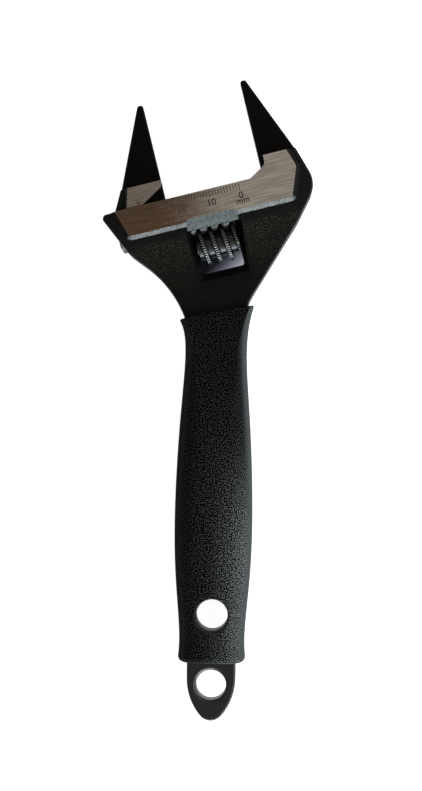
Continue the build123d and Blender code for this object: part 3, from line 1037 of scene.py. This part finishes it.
@dataclass(frozen=True)
class AdjustingWorm:
    """The worm: a right-handed thread with a knurled crest, bored for its pin and its spring.

    Attributes:
        length: length of the worm.
        radius: radius over the crests.
        pitch: advance of the thread in a turn.
        depth: depth of the thread.
        crest: breadth of the crest.
        flank_degrees: lean of a flank from a right angle to the axis.
        crest_shift: place of a crest that faces the rack, from the worm's middle.
        bore: radius of the pin's bore.
        seat_radius: radius of the spring's seat.
        seat_depth: depth of the spring's seat.
        notches: knurled notches in a turn.
        notch_depth: their depth.
        points_a_notch: mesh points round each notch.
        spare_turns: turns of the grid past each end, which the ends cut off.
        corner: rounding at the thread's corners.
        ridge_gain: how steeply the shine falls off beside a ridge.
        root_share: share of the thread's depth that the root's shine reaches up.
        root_shine: how much of a ridge's shine the thread's root has.
        merge: distance below which points are merged.
        crease_degrees: angle from which an edge is sharp.
    """

    length: float = 13.0 * MM
    radius: float = 6.0 * MM
    pitch: float = 3.75 * MM
    depth: float = 2.0 * MM
    crest: float = 1.1 * MM
    flank_degrees: float = 14.5
    crest_shift: float = -1.85 * MM
    bore: float = 2.07 * MM
    seat_radius: float = 3.2 * MM
    seat_depth: float = 3.16 * MM
    notches: int = 46
    notch_depth: float = 0.16 * MM
    points_a_notch: int = 8
    spare_turns: int = 2
    corner: float = 0.12 * MM
    ridge_gain: float = 1.4
    root_share: float = 0.25
    root_shine: float = 0.11
    merge: float = 0.004 * MM
    crease_degrees: float = 38.0

    @property
    def half_crest(self) -> float:
        """Distance from the crest's middle to the top of a flank."""
        return self.crest / 2

    @property
    def half_root(self) -> float:
        """Distance from the crest's middle to the foot of a flank."""
        return self.half_crest + self.depth * math.tan(math.radians(self.flank_degrees))

    def _profile(self, off: np.ndarray) -> tuple[np.ndarray, np.ndarray]:
        """Thread height and crest share at a distance from the crest's middle.

        The height is the full depth on the crest, falls in a straight line down the flank and is 0 on
        the root.

        Args:
            off: distance along the axis from the nearest crest's middle.

        Returns:
            Height of the thread above its root, and 1 on the crest down to 0 below it.
        """
        away = np.abs(off)
        height = self.depth * np.clip((self.half_root - away) / (self.half_root - self.half_crest), 0, 1)
        on_crest = np.clip((self.half_crest + self.corner - away) / self.corner, 0, 1)
        return height, on_crest

    def _surface(self, angle: np.ndarray, along: np.ndarray) -> tuple[np.ndarray, np.ndarray]:
        """Radius of the knurled thread and its shine.

        A crest lies at crest_shift + pitch * angle / (2 pi), one for each pitch. The knurl is a cosine wave
        with as many waves in a turn as there are notches, and a ridge is the foot of a wave.

        Args:
            angle: angle round the axis.
            along: place along the axis.

        Returns:
            Radius and shine at each of these places.
        """
        off = along - self.crest_shift - self.pitch * angle / (2 * math.pi)
        off = (off + self.pitch / 2) % self.pitch - self.pitch / 2
        height, on_crest = self._profile(off)
        wave = np.cos(self.notches * angle)
        notch = self.notch_depth * (0.5 + 0.5 * wave)
        ridge = on_crest * np.clip(1 - self.ridge_gain * (1 + wave), 0, 1)
        root = np.clip(1 - height / (self.root_share * self.depth), 0, 1)
        return self.radius - self.depth + height - notch * on_crest, ridge + self.root_shine * root

    def build(self, head: HeadAxes, centre: np.ndarray) -> bpy.types.Object:
        """Makes the worm's mesh as rings of the thread's own profile, closed through the bore.

        Args:
            head: the head's axes; the worm's axis is along u.
            centre: the middle of the worm.

        Returns:
            The worm, with a "shine" number at each point.
        """
        crest, root, corner = self.half_crest, self.half_root, self.corner
        tops = [0.0, crest - corner, crest, crest + corner]
        feet = [(crest + root) / 2, root - corner, root, root + corner]
        one_side = np.sort(tops + feet)
        profile = np.concatenate([-one_side[:0:-1], one_side, [self.pitch / 2]])
        turns = math.ceil(self.length / self.pitch / 2) + self.spare_turns
        steps = np.arange(-turns, turns + 1) * self.pitch
        places = (steps[:, None] + profile[None, :]).reshape(-1) + self.crest_shift
        count = self.notches * self.points_a_notch
        angle = np.linspace(0, 2 * math.pi, count + 1)[None, :]
        along = places[:, None] + self.pitch * angle / (2 * math.pi)
        along = np.clip(along, -self.length / 2, self.length / 2)
        radius, shine = self._surface(angle, along)
        seat = self.seat_depth / self.length - 0.5
        inner_places = np.array([0.5, seat, seat, -0.5])
        inner_radii = np.array([self.bore, self.bore, self.seat_radius, self.seat_radius])
        along = np.concatenate([along, np.repeat(inner_places[:, None] * self.length, count + 1, axis=1)])
        radius = np.concatenate([radius, np.repeat(inner_radii[:, None], count + 1, axis=1)])
        shine = np.concatenate([shine, np.zeros((len(inner_radii), count + 1))])
        offset = head.place(along, radius * np.cos(angle), radius * np.sin(angle)) - head.origin
        worm = mesh_object("knurled_worm", centre + offset, grid_faces(*along.shape, close_rows=True))
        share = worm.data.attributes.new("shine", "FLOAT", "POINT")
        share.data.foreach_set("value", shine.reshape(-1).astype(np.float32))
        close_up(worm, self.merge)
        smooth(worm, self.crease_degrees)
        return worm


@dataclass(frozen=True)
class SlideScale:
    """The scale on the slide's pad and the pointer on the movable jaw's pad.

    Attributes:
        pad_level: height of the pads above the wrench's middle.
        zero_reach: how far the 0 stands from the fixed jaw's face.
        step: distance of the strokes.
        strokes: strokes after the 0.
        stroke_width: breadth of a stroke.
        short_stroke: length of a stroke.
        fifth_stroke: length of each fifth stroke.
        tenth_stroke: length of each tenth stroke.
        edge_gap: bare steel between the slide's edge and the strokes.
        label_drop: how far the labels' middles lie below the slide's edge.
        label_height: height of the figures.
        label_share: that height, as a share of the font's size.
        label_bold: how much their strokes are thickened on each side.
        label_merge: distance below which their points are merged.
        unit_drop: how far the unit's middle lies below the slide's edge.
        unit_shift: how far it stands nearer to the fixed jaw than the 0.
        unit_share: its height, as a share of the figures'.
        opening: the movable jaw's distance from the fixed jaw at rest.
        pointer_reach: how far the pointer stands behind the movable jaw's face.
        pointer_tip: how far its tip stands above the slide's edge.
        pointer_size: its length.
        pointer_wing: how far its slanted strokes spread to each side, as a share of the length.
        pointer_ends: how high the two corners of their ends lie, as shares of the length.
        ink: thickness of a mark.
        slab_merge: distance below which the points of strokes are merged.
    """

    pad_level: float = 7.5 * MM
    zero_reach: float = 8.5 * MM
    step: float = 1.0 * MM
    strokes: int = 40
    stroke_width: float = 0.24 * MM
    short_stroke: float = 1.9 * MM
    fifth_stroke: float = 2.1 * MM
    tenth_stroke: float = 2.4 * MM
    edge_gap: float = 0.5 * MM
    label_drop: float = 4.6 * MM
    label_height: float = 2.3 * MM
    label_share: float = 0.72
    label_bold: float = 0.04 * MM
    label_merge: float = 0.0005 * MM
    unit_drop: float = 6.4 * MM
    unit_shift: float = 0.2 * MM
    unit_share: float = 0.9
    opening: float = 33.0 * MM
    pointer_reach: float = 8.9 * MM
    pointer_tip: float = 0.55 * MM
    pointer_size: float = 1.5 * MM
    pointer_wing: float = 0.42
    pointer_ends: tuple[float, float] = (0.55, 0.45)
    ink: float = 0.02 * MM
    slab_merge: float = 0.001 * MM

    def build_strokes(self, head: HeadAxes) -> bpy.types.Object:
        """Makes the strokes: a flat bar for each step, longer at each fifth and tenth.

        Args:
            head: the head's axes.

        Returns:
            The strokes, as one piece.
        """
        number = np.arange(self.strokes + 1)
        length = np.where(number % 5 == 0, self.fifth_stroke, self.short_stroke)
        length = np.where(number % 10 == 0, self.tenth_stroke, length)
        corner = np.array([[-1, 0], [1, 0], [1, 1], [-1, 1]], dtype=float)
        u = -self.zero_reach - self.step * number[:, None] + corner[None, :, 0] * self.stroke_width / 2
        v = -self.edge_gap - corner[None, :, 1] * length[:, None]
        return self._slabs("scale_strokes", head, u, v)

    def _slabs(self, name: str, head: HeadAxes, u: np.ndarray, v: np.ndarray) -> bpy.types.Object:
        """Makes closed slabs of ink from four-sided outlines.

        Args:
            name: name of the piece.
            head: the head's axes.
            u: corners along the slide, (n, 4).
            v: corners across the slide, (n, 4).

        Returns:
            The piece, half sunk into the pad.
        """
        levels = self.pad_level + np.array([-0.5, 0.5]) * self.ink
        u8, v8 = np.tile(u, 2), np.tile(v, 2)
        w8 = np.broadcast_to(np.repeat(levels, 4), u8.shape)
        box = np.array([[3, 2, 1, 0], [4, 5, 6, 7], [0, 1, 5, 4], [1, 2, 6, 5], [2, 3, 7, 6], [3, 0, 4, 7]])
        faces = (box[None] + 8 * np.arange(len(u))[:, None, None]).reshape(-1, 4)
        slabs = mesh_object(name, head.place(u8, v8, w8), faces)
        close_up(slabs, self.slab_merge)
        return slabs

    def build_labels(self, head: HeadAxes) -> bpy.types.Object:
        """Makes the figures 0, 10, 20 and 30 and the unit below the 0, as one mesh.

        Args:
            head: the head's axes.

        Returns:
            The figures, half sunk into the pad.
        """
        words = [
            (str(ten), self.zero_reach + self.step * ten, self.label_drop, self.label_height)
            for ten in range(0, self.strokes, 10)
        ]
        unit_height = self.unit_share * self.label_height
        words.append(("mm", self.zero_reach - self.unit_shift, self.unit_drop, unit_height))
        points, faces, count = [], [], 0
        for text, back, drop, height in words:
            flat, corners = self._lettering(text, height)
            points.append(head.place(flat[:, 0] - back, flat[:, 1] - drop, flat[:, 2] + self.pad_level))
            faces.append(corners + count)
            count += len(flat)
        labels = mesh_object("scale_figures", np.concatenate(points), np.concatenate(faces))
        close_up(labels, self.label_merge)
        return labels

    def _lettering(self, text: str, height: float) -> tuple[np.ndarray, np.ndarray]:
        """Makes a word about its own middle, lying flat.

        Args:
            text: the word.
            height: height of its letters.

        Returns:
            Its points, (n, 3), and its triangles, (m, 3).
        """
        curve = bpy.data.curves.new("lettering", "FONT")
        curve.body = text
        curve.size = height / self.label_share
        curve.align_x = "CENTER"
        curve.align_y = "CENTER"
        curve.extrude = self.ink / 2
        curve.offset = self.label_bold
        curve.resolution_u = 3
        holder = bpy.data.objects.new("lettering", curve)
        bpy.context.scene.collection.objects.link(holder)
        mesh = bpy.data.meshes.new_from_object(holder.evaluated_get(bpy.context.evaluated_depsgraph_get()))
        mesh.calc_loop_triangles()
        flat = np.empty(3 * len(mesh.vertices))
        mesh.vertices.foreach_get("co", flat)
        corners = np.empty(3 * len(mesh.loop_triangles), dtype=np.int32)
        mesh.loop_triangles.foreach_get("vertices", corners)
        bpy.data.objects.remove(holder)
        bpy.data.curves.remove(curve)
        bpy.data.meshes.remove(mesh)
        return flat.reshape(-1, 3), corners.reshape(-1, 3)

    def build_pointer(self, head: HeadAxes) -> bpy.types.Object:
        """Makes the pointer: two slanted strokes and a stem that point at the scale.

        Args:
            head: the head's axes.

        Returns:
            The pointer.
        """
        size, half = self.pointer_size, self.stroke_width / 2
        wing = self.pointer_wing * size
        outer, inner = (share * size for share in self.pointer_ends)
        slanted = [0, wing, wing + half, half]
        u = np.array([[-part for part in slanted], slanted, [-half, half, half, -half]])
        v = np.array([[0, outer, inner, -half], [0, outer, inner, -half], [0, 0, size, size]])
        return self._slabs("jaw_pointer", head, u - self.opening - self.pointer_reach, v + self.pointer_tip)


@dataclass(frozen=True)
class SoftLight:
    """A soft rectangular light.

    Attributes:
        name: its name.
        place: its middle.
        aim: the point that it faces.
        size: its breadth and height.
        radiance: brightness of its face, where 1 is white.
        colour: its tint.
    """

    name: str
    place: Place
    aim: Place
    size: tuple[float, float]
    radiance: float
    colour: Colour

    def add(self) -> None:
        """Adds the light. A face of area A and radiance L gives pi * A * L watts."""
        lamp = bpy.data.lights.new(self.name, "AREA")
        lamp.shape = "RECTANGLE"
        lamp.size, lamp.size_y = self.size
        lamp.energy = math.pi * self.size[0] * self.size[1] * self.radiance
        lamp.color = self.colour
        holder = bpy.data.objects.new(self.name, lamp)
        back = np.array(self.place) - np.array(self.aim)
        holder.location = self.place
        holder.rotation_euler = (
            math.atan2(math.hypot(back[0], back[1]), back[2]),
            0.0,
            math.atan2(back[0], -back[1]),
        )
        bpy.context.scene.collection.objects.link(holder)


@dataclass(frozen=True)
class Studio:
    """The pale table, the light round it and the camera above it.

    Attributes:
        floor_half: half the table's breadth.
        floor_colour: its colour.
        floor_glow: how far it is lifted towards white where it is seen.
        shade_place: middle of the shade under the worm's window.
        shade_reach: band of radii in which it ends, all under the head.
        shade_way: direction from which light gets into it.
        shade_clearing: band of distances that way from its middle, from dark to clear.
        shade_tint: colour of the light that gets into it.
        shade_keep: what it keeps of the table's colour.
        zenith: light from straight above, as the pads mirror it.
        horizon: light from all round.
        zenith_band: band of sines of the height, from the light all round to the light from above.
        lights: the soft lights.
        camera_place: where the camera stands.
        camera_tilt: its turn from looking straight down, about X, Y and Z, in degrees.
        focal_pixels: its focal length in pixels of the picture.
        picture_height: the picture's height in pixels.
        film: breadth of the camera's film, in millimetres.
    """

    floor_half: float = 4.0
    floor_colour: float = 0.50
    floor_glow: float = 0.95
    shade_place: Place = (3.5 * MM, 51.4 * MM, 0.0)
    shade_reach: Band = (13.5 * MM, 15.0 * MM)
    shade_way: Place = (0.707, -0.707, 0.0)
    shade_clearing: Band = (2.5 * MM, 20.0 * MM)
    shade_tint: Colour = (0.72, 0.74, 1.0)
    shade_keep: float = 0.2
    zenith: Colour = (0.150, 0.092, 0.057)
    horizon: Colour = (0.25, 0.26, 0.27)
    zenith_band: Band = (0.82, 0.96)
    lights: tuple[SoftLight, ...] = (
        SoftLight("overhead", (0.763, 0.0, 1.2), (0.763, 0.0, 0.0), (1.6, 2.2), 0.38, (0.98, 0.99, 0.93)),
        SoftLight("front_panel", (0.55, -0.85, 0.50), (0.0, 0.0, 0.0), (1.8, 1.1), 1.15, (0.86, 0.95, 1.0)),
        SoftLight("front_strip", (0.45, -0.85, 0.40), (0.0, 0.0, 0.0), (0.9, 0.10), 17.0, (0.86, 0.95, 1.0)),
        SoftLight("right_panel", (0.95, -0.25, 0.50), (0.0, 0.0, 0.0), (2.2, 1.1), 1.5, (0.86, 0.95, 1.0)),
    )
    camera_place: Place = (17.717 * MM, 3.882 * MM, 670.763 * MM)
    camera_tilt: Place = (-0.18, 1.37, 0.88)
    focal_pixels: float = 2000.0
    picture_height: float = 791.0
    film: float = 36.0

    def _clear(self, recipe: Recipe) -> Signal:
        """Where the table is clear of the shade under the worm's window.

        Args:
            recipe: the table's recipe.

        Returns:
            0 in the dark of the shade up to 1 outside it.
        """
        away = recipe.node(
            "ShaderNodeVectorMath", {"operation": "SUBTRACT"}, {0: recipe.position(), 1: self.shade_place}
        ).outputs[0]
        far = recipe.node("ShaderNodeVectorMath", {"operation": "LENGTH"}, {0: away})
        lit = recipe.node("ShaderNodeVectorMath", {"operation": "DOT_PRODUCT"}, {0: away, 1: self.shade_way})
        outside = Signal(recipe, far.outputs["Value"]).rise(*self.shade_reach)
        within = Signal(recipe, lit.outputs["Value"]).rise(*self.shade_clearing)
        return within + outside * (1 - within)

    def build_floor(self) -> bpy.types.Object:
        """Makes the table's flat top, whose material keeps the shadow and is white where it is seen.

        Returns:
            The table's top.
        """
        side = np.array([-self.floor_half, self.floor_half])
        x, y = np.meshgrid(side, side, indexing="ij")
        floor = mesh_object("table_top", np.stack([x, y, np.zeros_like(x)], axis=-1), grid_faces(2, 2))
        recipe = Recipe("pale_table")
        path = recipe.node("ShaderNodeLightPath")
        rays = ("Is Camera Ray", "Is Glossy Ray", "Is Transmission Ray")
        camera, glossy, through = (Signal(recipe, path.outputs[ray]) for ray in rays)
        clear = self._clear(recipe)
        pale = (self.floor_colour,) * 3
        shaded = tuple(self.shade_keep * self.floor_colour * part for part in self.shade_tint)
        matt = recipe.node("ShaderNodeBsdfDiffuse", sockets={"Color": recipe.mix(clear, shaded, pale)})
        lifted = recipe.mix(clear, BLACK, recipe.mix(clear, self.shade_tint, WHITE))
        glow = recipe.node("ShaderNodeEmission", sockets={"Color": lifted, "Strength": self.floor_glow})
        both = recipe.node("ShaderNodeAddShader", sockets={0: matt.outputs[0], 1: glow.outputs[0]})
        ways = {0: camera + glossy + through, 1: matt.outputs[0], 2: both.outputs[0]}
        shown = recipe.node("ShaderNodeMixShader", sockets=ways)
        recipe.node("ShaderNodeOutputMaterial", sockets={"Surface": shown.outputs[0]})
        dress(floor, recipe.material)
        return floor

    def build_light(self) -> None:
        """Sets the light from all round, which is warm and dim straight above, and adds the soft lights."""
        room = Recipe("room", world=True)
        way = room.node("ShaderNodeTexCoord").outputs["Generated"]
        above = room.split(way)[2].rise(*self.zenith_band)
        colour = room.mix(above, self.horizon, self.zenith)
        back = room.node("ShaderNodeBackground", sockets={"Color": colour})
        room.node("ShaderNodeOutputWorld", sockets={"Surface": back.outputs[0]})
        bpy.context.scene.world = room.material
        for light in self.lights:
            light.add()

    def build_camera(self) -> None:
        """Adds the camera: the film's breadth spans the picture's longer side."""
        lens = bpy.data.cameras.new("photo_camera")
        lens.sensor_width = self.film
        lens.lens = self.focal_pixels / self.picture_height * self.film
        holder = bpy.data.objects.new("photo_camera", lens)
        holder.location = self.camera_place
        holder.rotation_euler = [math.radians(part) for part in self.camera_tilt]
        bpy.context.scene.collection.objects.link(holder)
        bpy.context.scene.camera = holder


@dataclass(frozen=True)
class Wrench:
    """The whole wrench, from its frame.

    Attributes:
        face_middle: height of the fixed jaw's mount above the slide.
        worm: the worm's sizes.
        scale: the scale's sizes.
    """

    face_middle: float = 19.5 * MM
    worm: AdjustingWorm = AdjustingWorm()
    scale: SlideScale = SlideScale()

    def build(self) -> None:
        """Makes the new pieces and dresses every piece."""
        head = HeadAxes.from_record(frame["record"], self.face_middle)
        self._dress_solids(head)
        self._build_worm(head)
        self._build_scale(head)

    def _dress_solids(self, head: HeadAxes) -> None:
        """Gives the solids that stay their finishes.

        Args:
            head: the head's axes.
        """
        finishes = {
            "wrench_body": BlackForging("body_black_coat", pad_rough=0.02, bar_share=0.0).material(head),
            "movable_jaw": BlackForging("jaw_black_coat", pad_rough=0.26, bar_share=1.0).material(head),
            "worm_pin": TurnedSteel("pin_dark_steel", (0.16, 0.155, 0.15)).material(),
            "worm_spring": TurnedSteel("spring_bright_wire", (0.42, 0.41, 0.40)).material(),
            "handle_grip": GripRubber().material(),
        }
        for node, material in finishes.items():
            dress(frame["nodes"][node], material)
            log.info("%s is dressed with %s", node, material.name)

    def _build_worm(self, head: HeadAxes) -> None:
        """Puts the knurled worm in the place of its plain solid.

        Args:
            head: the head's axes.
        """
        joints = frame["record"]["behaviour"]["joints"]
        spin = next(joint for joint in joints if joint["name"] == "worm_spin")
        worm = self.worm.build(head, np.array(spin["pos_m"]))
        dress(worm, WormSteel().material())
        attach(worm, Body.WORM.value)
        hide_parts("adjusting_worm")
        log.info("%s has %d faces", worm.name, len(worm.data.polygons))

    def _build_scale(self, head: HeadAxes) -> None:
        """Puts the scale on the slide and the pointer on the movable jaw.

        Args:
            head: the head's axes.
        """
        stroke_ink = MarkInk("stroke_mark", rubbing=0.5).material()
        figure_ink = MarkInk("figure_mark", rubbing=0.9).material()
        pointer_ink = MarkInk("pointer_mark", rubbing=0.0).material()
        marks = (
            (self.scale.build_strokes(head), stroke_ink, Body.FRAME, Slot.BLACK_FORGING),
            (self.scale.build_labels(head), figure_ink, Body.FRAME, Slot.BLACK_FORGING),
            (self.scale.build_pointer(head), pointer_ink, Body.JAW, Slot.JAW_FORGING),
        )
        for mark, ink, body, slot in marks:
            dress(mark, ink)
            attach(mark, body.value)
            log.info("%s has %d faces", mark.name, len(mark.data.polygons))


def main() -> None:
    """Builds the wrench and its studio."""
    logging.basicConfig(level=logging.INFO, format="%(name)s: %(message)s")
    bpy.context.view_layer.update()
    bpy.context.scene.view_settings.view_transform = "Standard"
    studio = Studio()
    studio.build_camera()
    studio.build_light()
    studio.build_floor()
    Wrench().build()


if __name__ == "__main__":
    main()
